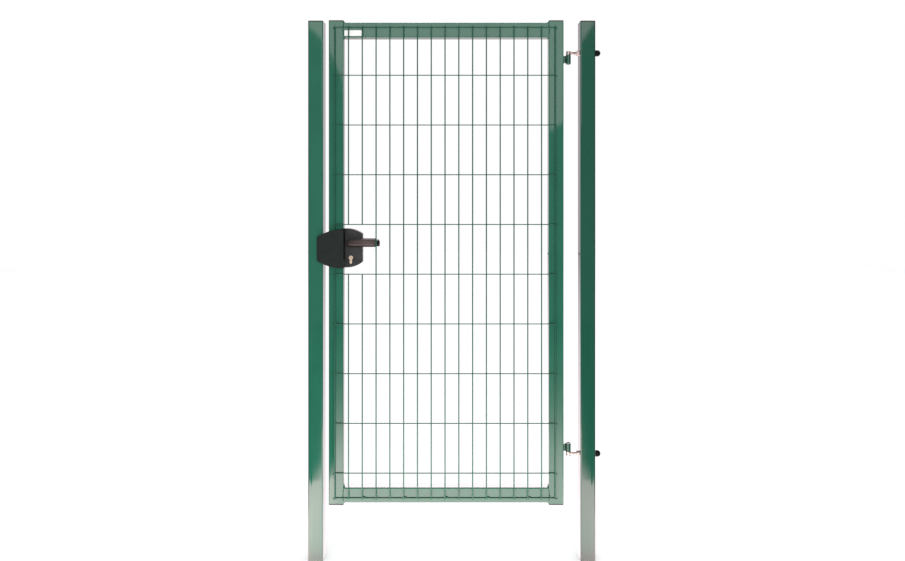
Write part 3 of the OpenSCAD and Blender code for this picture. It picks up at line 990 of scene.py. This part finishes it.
@dataclass
class FrameWelds:
    """Weld seams of the leaf's frame, coated over with it.

    Attributes:
        seam_r: Half width of the seams on the flat joints.
        fillet_r: Radius of the seams in the corners.
        fillet_span: Where a corner's seam starts and ends, in from the face.
        sway: How far the seams on the flat joints swing.
        ripple: Share by which a seam swells at each ripple.
        pitch: Distance between two ripples.
        plate_fillet_r: Radius of the seams round the hinge plates.
    """

    seam_r: float = 0.0031
    fillet_r: float = 0.0042
    fillet_span: tuple[float, float] = (0.003, 0.013)
    sway: float = 0.0011
    ripple: float = 0.12
    pitch: float = 0.0028
    plate_fillet_r: float = 0.0022

    def seam(
        self,
        work: Workpiece,
        start: Vector,
        end: Vector,
        radius: float,
        dice: random.Random,
        sway: float = 0.0,
    ) -> None:
        """Lays a rippled seam.

        Args:
            work: Mesh that the seam is added to.
            start: One end of its centre line.
            end: The other end.
            radius: Its radius.
            dice: Source of its unevenness.
            sway: How far it swings out along X.
        """
        steps = max(8, round((end - start).length / self.pitch * 4))
        line, radii = [], []
        for i in range(steps + 1):
            share = i / steps
            wander = Vector(dice.uniform(-1, 1) for _ in range(3)) * radius * 0.05
            swing = Vector((sway * math.sin(share * math.pi * 3), 0, 0))
            line.append(start.lerp(end, share) + wander + swing)
            swell = 1 + self.ripple * math.cos(i * math.pi / 2) + dice.uniform(-0.05, 0.05)
            fade = min(1.0, 0.35 + 4.0 * min(share, 1 - share))
            radii.append(radius * swell * fade)
        work.swept(line, radii, 8)

    def joints(self, work: Workpiece, dice: random.Random) -> None:
        """Welds the rails to the stiles, in front, behind and in the corners.

        Args:
            work: Mesh that the seams are added to.
            dice: Source of their unevenness.
        """
        for stile, side, way in (("latch_stile", 1, 1), ("hinge_stile", 0, -1)):
            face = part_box(stile)[side].x
            for rail in ("top_rail", "bottom_rail"):
                low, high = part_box(rail)
                for y, inward in ((low.y, 1), (high.y, -1)):
                    x = face - way * 0.0015
                    depth = y + inward * 0.0017
                    foot, top = Vector((x, depth, low.z + 0.002)), Vector((x, depth, high.z - 0.002))
                    self.seam(work, foot, top, self.seam_r, dice, way * self.sway)
                for z, outward in ((low.z, -1), (high.z, 1)):
                    corner = Vector((face + way * 0.0005, 0, z + outward * 0.0005))
                    ends = (Vector((0, low.y + reach, 0)) for reach in self.fillet_span)
                    self.seam(work, *(corner + end for end in ends), self.fillet_r, dice)

    def plates(self, work: Workpiece, dice: random.Random) -> None:
        """Welds the hinge plates to the hinge stile and the sockets to their plates.

        Args:
            work: Mesh that the seams are added to.
            dice: Source of their unevenness.
        """
        for level in ("upper", "lower"):
            low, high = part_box(f"{level}_socket_plate")
            socket_low, socket_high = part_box(f"{level}_hinge_socket")
            reach = socket_low.x + 0.0012
            top, foot = min(high.z, socket_high.z), max(low.z, socket_low.z)
            radius = self.plate_fillet_r
            for y in (low.y, high.y):
                self.seam(work, Vector((low.x, y, low.z)), Vector((low.x, y, high.z)), radius, dice)
                self.seam(work, Vector((reach, y, foot)), Vector((reach, y, top)), radius, dice)
            for z in (low.z, high.z):
                self.seam(work, Vector((low.x, low.y, z)), Vector((low.x, high.y, z)), radius, dice)

    def build(self, finishes: Finishes) -> bpy.types.Object:
        """Lays every seam.

        Args:
            finishes: The gate's finishes.

        Returns:
            The seams as one piece.
        """
        work = Workpiece()
        dice = random.Random(11)
        self.joints(work, dice)
        self.plates(work, dice)
        return work.finish("frame_welds", Body.LEAF, Slot.GREEN_COAT, finishes, 80.0)


@dataclass
class HingeThreads:
    """Thread on the two hinge rods, between the knuckle and the nut.

    Attributes:
        pitch: Pitch of the thread.
        depth: Height of its ridge over the rod.
        sink: How deep the ridge starts inside the rod.
        plain: Length of plain rod beside the knuckle.
        knuckle: Width of the knuckle, where the rod starts.
        rod_r: Radius of the rod.
        sides: Steps to a turn.
    """

    pitch: float = 0.00175
    depth: float = 0.00045
    sink: float = 0.0003
    plain: float = 0.0085
    knuckle: float = 0.018
    rod_r: float = 0.006
    sides: int = 16

    def build(self, finishes: Finishes) -> list[bpy.types.Object]:
        """Cuts both threads.

        Args:
            finishes: The gate's finishes.

        Returns:
            The threads, one to a rod.
        """
        pieces = []
        for level in ("upper", "lower"):
            nut_low, nut_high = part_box(f"{level}_inner_nut")
            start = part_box(f"{level}_hinge_rod")[0].x + self.knuckle + self.plain
            centre = Vector((start, (nut_low.y + nut_high.y) / 2, (nut_low.z + nut_high.z) / 2))
            turns = (nut_low.x - centre.x) / self.pitch
            inner, outer = self.rod_r - self.sink, self.rod_r + self.depth
            work = Workpiece()
            half = self.pitch * 0.42
            corners = [
                work.bm.verts.new(centre + Vector((x, 0, radius)))
                for x, radius in ((-half, inner), (0.0, outer), (half, inner))
            ]
            ridge = work.bm.faces.new(corners)
            bmesh.ops.spin(
                work.bm,
                geom=[ridge],
                cent=centre,
                axis=Vector((1, 0, 0)),
                dvec=Vector((self.pitch / self.sides, 0, 0)),
                angle=2 * math.pi * turns,
                steps=round(turns * self.sides),
            )
            pieces.append(work.finish(f"{level}_rod_thread", Body.POSTS, Slot.ZINC_PLATE, finishes, 25.0))
        return pieces


@dataclass
class BlankLabel:
    """Blank label with rounded corners on the front of the top rail.

    Attributes:
        width: Length of the label.
        height: Height of the label.
        corner: Radius of its corners.
        film: Thickness of the film.
        inset: Distance from the latch stile to the label.
        rise: Height of its lower edge over the rail's lower edge.
    """

    width: float = 0.0725
    height: float = 0.0227
    corner: float = 0.004
    film: float = 0.0003
    inset: float = 0.0037
    rise: float = 0.0057

    def build(self, finishes: Finishes) -> bpy.types.Object:
        """Cuts the label.

        Args:
            finishes: The gate's finishes.

        Returns:
            The label.
        """
        low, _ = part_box("top_rail")
        centre = Vector(
            (low.x + self.inset + self.width / 2, low.y - self.film / 2, low.z + self.rise + self.height / 2)
        )
        work = Workpiece()
        size = Matrix.Diagonal((self.width, self.film, self.height, 1.0))
        bmesh.ops.create_cube(work.bm, size=1.0, matrix=Matrix.Translation(centre) @ size)
        lengths = ((edge, edge.verts[0].co - edge.verts[1].co) for edge in work.bm.edges)
        through = [edge for edge, length in lengths if abs(length.y) > self.film / 2]
        bmesh.ops.bevel(
            work.bm, geom=through, offset=self.corner, affect="EDGES", segments=6, profile=0.5, material=-1
        )
        return work.finish("blank_label", Body.LEAF, Slot.LABEL_FILM, finishes)


# ---- Studio ----


@dataclass(frozen=True)
class SoftLight:
    """A lamp with a soft, even face that lights the gate's body colours.

    Attributes:
        name: Name of the lamp.
        size: Width and height of its face.
        place: Middle of its face.
        aim: Direction that it shines in.
        glow: Brightness of its face, where 1 is white.
    """

    name: str
    size: tuple[float, float]
    place: Colour
    aim: Colour
    glow: float

    def hang(self) -> bpy.types.Object:
        """Hangs the lamp.

        Returns:
            The lamp.
        """
        data = bpy.data.lights.new(self.name, "AREA")
        data.shape = "RECTANGLE"
        data.size, data.size_y = self.size
        data.energy = self.glow * math.pi * self.size[0] * self.size[1]
        lamp = bpy.data.objects.new(self.name, data)
        bpy.context.scene.collection.objects.link(lamp)
        lamp.location = self.place
        lamp.rotation_mode = "QUATERNION"
        lamp.rotation_quaternion = Vector(self.aim).to_track_quat("-Z", "Y")
        lamp.visible_camera = False
        lamp.visible_glossy = False
        return lamp


@dataclass(frozen=True)
class GlossPanel:
    """A bright panel that shows only in the gate's glossy faces.

    Attributes:
        name: Name of the panel.
        outline: Corners of the panel.
        glow: Brightness at its brightest, where 1 is white.
        near: Distance along Y from which it fades, or None where it is even.
        fade: Distance over which it has lost half its brightness.
        steep: How suddenly it fades.
        sides: Middle along X, half width at which its sides are half as bright, how far they are soft, and
            how much wider it gets with each metre past the first; or None.
        foot: How much wider it is right beside the gate.
        right_share: Share of its brightness that its right end keeps.
        middle_share: Share of its brightness that its middle keeps.
        tint: Colour of its light.
    """

    name: str
    outline: tuple[Vector, ...]
    glow: float
    near: float | None = None
    fade: float = 1.0
    steep: float = 1.0
    sides: tuple[float, float, float, float] | None = None
    foot: float = 0.0
    right_share: float = 1.0
    middle_share: float = 1.0
    tint: Colour = (1.0, 0.87, 0.93)

    def strength(self, bench: NodeBench) -> bpy.types.NodeSocket | float:
        """Works out how bright each place is.

        Args:
            bench: Bench of the panel's material.

        Returns:
            The brightness, or the output that gives it.
        """
        if self.near is None:
            return self.glow
        place = bench.add("ShaderNodeSeparateXYZ", {0: bench.place()}).outputs
        away = bench.math("ABSOLUTE", bench.math("SUBTRACT", place["Y"], self.near), 0.0)
        loss = bench.math("POWER", bench.math("DIVIDE", away, self.fade), self.steep)
        bright = bench.math("DIVIDE", self.glow, bench.math("ADD", loss, 1.0))
        if self.sides is not None:
            bright = bench.math("MULTIPLY", bright, self.side_share(bench, place["X"], away))
        return bright

    def side_share(
        self, bench: NodeBench, across: bpy.types.NodeSocket, away: bpy.types.NodeSocket
    ) -> bpy.types.NodeSocket:
        """Lets the panel end softly at its sides.

        Args:
            bench: Bench of the panel's material.
            across: Place along X.
            away: Distance from the gate.

        Returns:
            The share of the brightness that is left.
        """
        middle, half, soft, widen = self.sides
        offset = bench.math("SUBTRACT", across, middle)
        far = bench.math("MULTIPLY", bench.math("MAXIMUM", bench.math("SUBTRACT", away, 1.0), 0.0), widen)
        spread = bench.math("ADD", far, bench.ramp(away, 0.55, 0.75, self.foot, 0.0))
        reach = bench.math("SUBTRACT", bench.math("ABSOLUTE", offset, 0.0), spread)
        edge = bench.ramp(reach, half - soft, half + soft, 1.0, 0.0, soft=True)
        swing = min(half, 1.2)
        lean = bench.ramp(offset, -swing, swing, 1.0, self.right_share)
        aside = bench.math("ABSOLUTE", offset, 0.0)
        dim = bench.ramp(aside, half * 0.74, half * 0.93, self.middle_share, 1.0)
        return bench.math("MULTIPLY", bench.math("MULTIPLY", edge, lean), dim)

    def hang(self) -> bpy.types.Object:
        """Hangs the panel.

        Returns:
            The panel.
        """
        made, bench = surface(self.name)
        glow = bench.add("ShaderNodeEmission", {"Color": (*self.tint, 1.0), "Strength": self.strength(bench)})
        bench.add("ShaderNodeOutputMaterial", {"Surface": glow.outputs[0]})
        bm = bmesh.new()
        bm.faces.new([bm.verts.new(corner) for corner in self.outline])
        mesh = bpy.data.meshes.new(self.name)
        bm.to_mesh(mesh)
        bm.free()
        mesh.materials.append(made)
        panel = bpy.data.objects.new(self.name, mesh)
        bpy.context.scene.collection.objects.link(panel)
        panel.visible_camera = False
        panel.visible_diffuse = False
        panel.visible_transmission = False
        panel.visible_shadow = False
        return panel


def flat_outline(middle: float, half: float, start: float, end: float, height: float) -> tuple[Vector, ...]:
    """Outlines a rectangle that lies on the floor.

    Args:
        middle: Its middle along X.
        half: Half its width.
        start: Its edge beside the gate, along Y.
        end: Its far edge.
        height: Its height over the floor.

    Returns:
        Its corners.
    """
    return tuple(
        Vector((middle + side * half, y, height))
        for side, y in ((-1, start), (1, start), (1, end), (-1, end))
    )


@dataclass(frozen=True)
class Studio:
    """Plain pale room that the gate stands in.

    Attributes:
        floor_r: Radius of the floor.
        floor_colour: Paint of the floor.
        floor_lift: Extra light of the floor as a camera sees it.
        air: Even light from all round.
        front_gloss: What glossy faces see on the side that the leaf opens to.
        back_gloss: What they see on the far side, up to the height of a wall.
        high_gloss: What they see on the far side above that.
        ceiling_gloss: What they see straight above.
        back_lean: Share of the far side's brightness at its left and at its right.
        camera_place: Place of the camera.
        camera_lens: Its focal length in millimetres, on a sensor 36 mm wide.
        camera_shift: How far its picture is shifted.
        window: Right half of the outline of the bright panel in front, from its lower edge up: X from the
            middle and height.
        window_left: Left half of it.
    """

    floor_r: float = 14.0
    floor_colour: Colour = (0.90, 0.90, 0.90)
    floor_lift: float = 0.30
    air: float = 0.80
    front_gloss: Colour = (0.20, 0.19, 0.20)
    back_gloss: Colour = (1.06, 0.92, 0.99)
    high_gloss: Colour = (8.0, 6.9, 7.4)
    ceiling_gloss: Colour = (0.35, 0.33, 0.34)
    back_lean: tuple[float, float] = (0.86, 1.3)
    camera_place: Colour = (-0.5366, -2.627, 1.469)
    camera_lens: float = 25.77
    camera_shift: tuple[float, float] = (-0.0019, -0.0946)
    window: tuple[tuple[float, float], ...] = (
        (0.80, 1.99),
        (0.89, 2.06),
        (0.96, 2.60),
        (1.13, 2.84),
        (1.50, 3.30),
        (1.60, 3.90),
    )
    window_left: tuple[tuple[float, float], ...] = (
        (-0.30, 2.05),
        (-0.80, 2.20),
        (-0.91, 2.44),
        (-0.98, 2.60),
        (-1.06, 2.73),
        (-1.15, 2.81),
        (-1.50, 3.12),
        (-1.60, 3.90),
    )

    def middle(self) -> float:
        """Gives the middle of the gateway along X."""
        return (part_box("latch_post")[0].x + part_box("hinge_post")[1].x) / 2

    def lamps(self) -> list[SoftLight]:
        """Lists the lamps.

        Returns:
            The lamps, placed about the gate's own box.
        """
        low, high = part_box("latch_post")
        x = self.middle()
        return [
            SoftLight("front_softbox", (3.4, 2.6), (x - 0.3, low.y - 2.6, high.z - 0.1), (0.1, 1, -0.1), 1.0),
            SoftLight("floor_bounce", (1.5, 1.6), (x, low.y - 0.85, 0.02), (0, 0, 1), 2.4),
        ]

    def panels(self) -> list[GlossPanel]:
        """Lists the panels that show in the glossy faces.

        Returns:
            The panels, placed about the gate's own box.
        """
        low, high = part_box("latch_post")
        x = self.middle()
        outline = (*self.window, *reversed(self.window_left))
        return [
            GlossPanel(
                "front_window",
                tuple(Vector((x + side, low.y - 2.6, height)) for side, height in outline),
                2.75,
                tint=(1.0, 0.91, 0.92),
            ),
            GlossPanel(
                "front_paper",
                flat_outline(x, 1.6, low.y, low.y - 5.0, 0.001),
                11.2,
                near=low.y,
                fade=1.2,
                steep=3.2,
                sides=(x, 0.70, 0.06, 0.18),
                foot=0.25,
                right_share=0.78,
                middle_share=0.74,
                tint=(1.0, 0.78, 0.79),
            ),
            GlossPanel(
                "back_paper",
                flat_outline(x, 9.0, low.y, high.y + 13.3, 0.001),
                2.25,
                near=high.y,
                fade=8.0,
                steep=0.9,
                sides=(x, 8.0, 0.5, 0.0),
                right_share=1.4,
                tint=(1.0, 0.86, 0.92),
            ),
        ]

    def lay_floor(self) -> bpy.types.Object:
        """Lays the floor.

        Returns:
            The floor.
        """
        made, bench = surface("floor_paint")
        points = bench.place()
        rays = bench.add("ShaderNodeLightPath").outputs
        lift = bench.math("MULTIPLY", rays["Is Camera Ray"], self.floor_lift)
        paint = bench.blend(
            bench.span(bench.noise(points, 3.0), 0.0, 1.0), self.floor_colour, shade(self.floor_colour, 0.985)
        )
        close_surface(
            bench,
            {
                "Base Color": bench.blend(rays["Is Glossy Ray"], paint, self.front_gloss),
                "Roughness": 0.9,
                "Specular IOR Level": 0.1,
                "Emission Color": (1.0, 1.0, 1.0, 1.0),
                "Emission Strength": lift,
            },
        )
        bm = bmesh.new()
        bmesh.ops.create_circle(bm, cap_ends=True, segments=64, radius=self.floor_r)
        mesh = bpy.data.meshes.new("floor")
        bm.to_mesh(mesh)
        bm.free()
        mesh.materials.append(made)
        floor = bpy.data.objects.new("floor", mesh)
        bpy.context.scene.collection.objects.link(floor)
        return floor

    def fill_air(self) -> None:
        """Makes the world: white to the camera, even light on the gate, and a room for its gloss to show."""
        world = bpy.data.worlds.new("studio_air")
        world.use_nodes = True
        world.cycles.sampling_method = "NONE"
        bpy.context.scene.world = world
        bench = NodeBench(world.node_tree)
        rays = bench.add("ShaderNodeLightPath").outputs
        direction = bench.add("ShaderNodeTexCoord").outputs["Generated"]
        heading = bench.add("ShaderNodeSeparateXYZ", {0: direction}).outputs
        behind = bench.ramp(heading["Y"], 0.62, 0.80)
        above = bench.ramp(heading["Z"], 0.30, 0.35)
        ceiling = bench.ramp(heading["Z"], 0.60, 0.72)
        ends = (shade(self.back_gloss, share) for share in self.back_lean)
        back = bench.blend(bench.ramp(heading["X"], -0.22, 0.18), *ends)
        wall = bench.blend(behind, self.front_gloss, bench.blend(above, back, self.high_gloss))
        gloss = bench.blend(ceiling, wall, self.ceiling_gloss)
        air = bench.blend(rays["Is Glossy Ray"], (self.air, self.air, self.air), gloss)
        shown = bench.math("MAXIMUM", rays["Is Camera Ray"], rays["Is Transmission Ray"])
        colour = bench.blend(shown, air, (1.0, 1.0, 1.0))
        background = bench.add("ShaderNodeBackground", {"Color": colour, "Strength": 1.0})
        bench.add("ShaderNodeOutputWorld", {"Surface": background.outputs[0]})

    def set_camera(self) -> bpy.types.Object:
        """Sets up the camera, level and square to the gate.

        Returns:
            The camera.
        """
        data = bpy.data.cameras.new("camera")
        data.sensor_fit = "HORIZONTAL"
        data.sensor_width = 36.0
        data.lens = self.camera_lens
        data.shift_x, data.shift_y = self.camera_shift
        camera = bpy.data.objects.new("camera", data)
        bpy.context.scene.collection.objects.link(camera)
        camera.location = self.camera_place
        camera.rotation_euler = (math.pi / 2, 0.0, 0.0)
        bpy.context.scene.camera = camera
        return camera

    def build(self) -> None:
        """Builds the whole studio."""
        self.lay_floor()
        self.fill_air()
        for light in (*self.lamps(), *self.panels()):
            light.hang()
        self.set_camera()
        bpy.context.scene.view_settings.view_transform = "Standard"
        LOG.info("studio: floor, world, lamps and camera are up")


def main() -> None:
    """Dresses the gate and puts it in its studio."""
    logging.basicConfig(level=logging.INFO, format="%(name)s: %(message)s")
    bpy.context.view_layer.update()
    Studio().build()
    finishes = Finishes.mixed()
    LOG.info("%d packed nodes dressed", finishes.dress())
    WireMesh().build(finishes)
    FrameWelds().build(finishes)
    HingeThreads().build(finishes)
    BlankLabel().build(finishes)


if __name__ == "__main__":
    main()
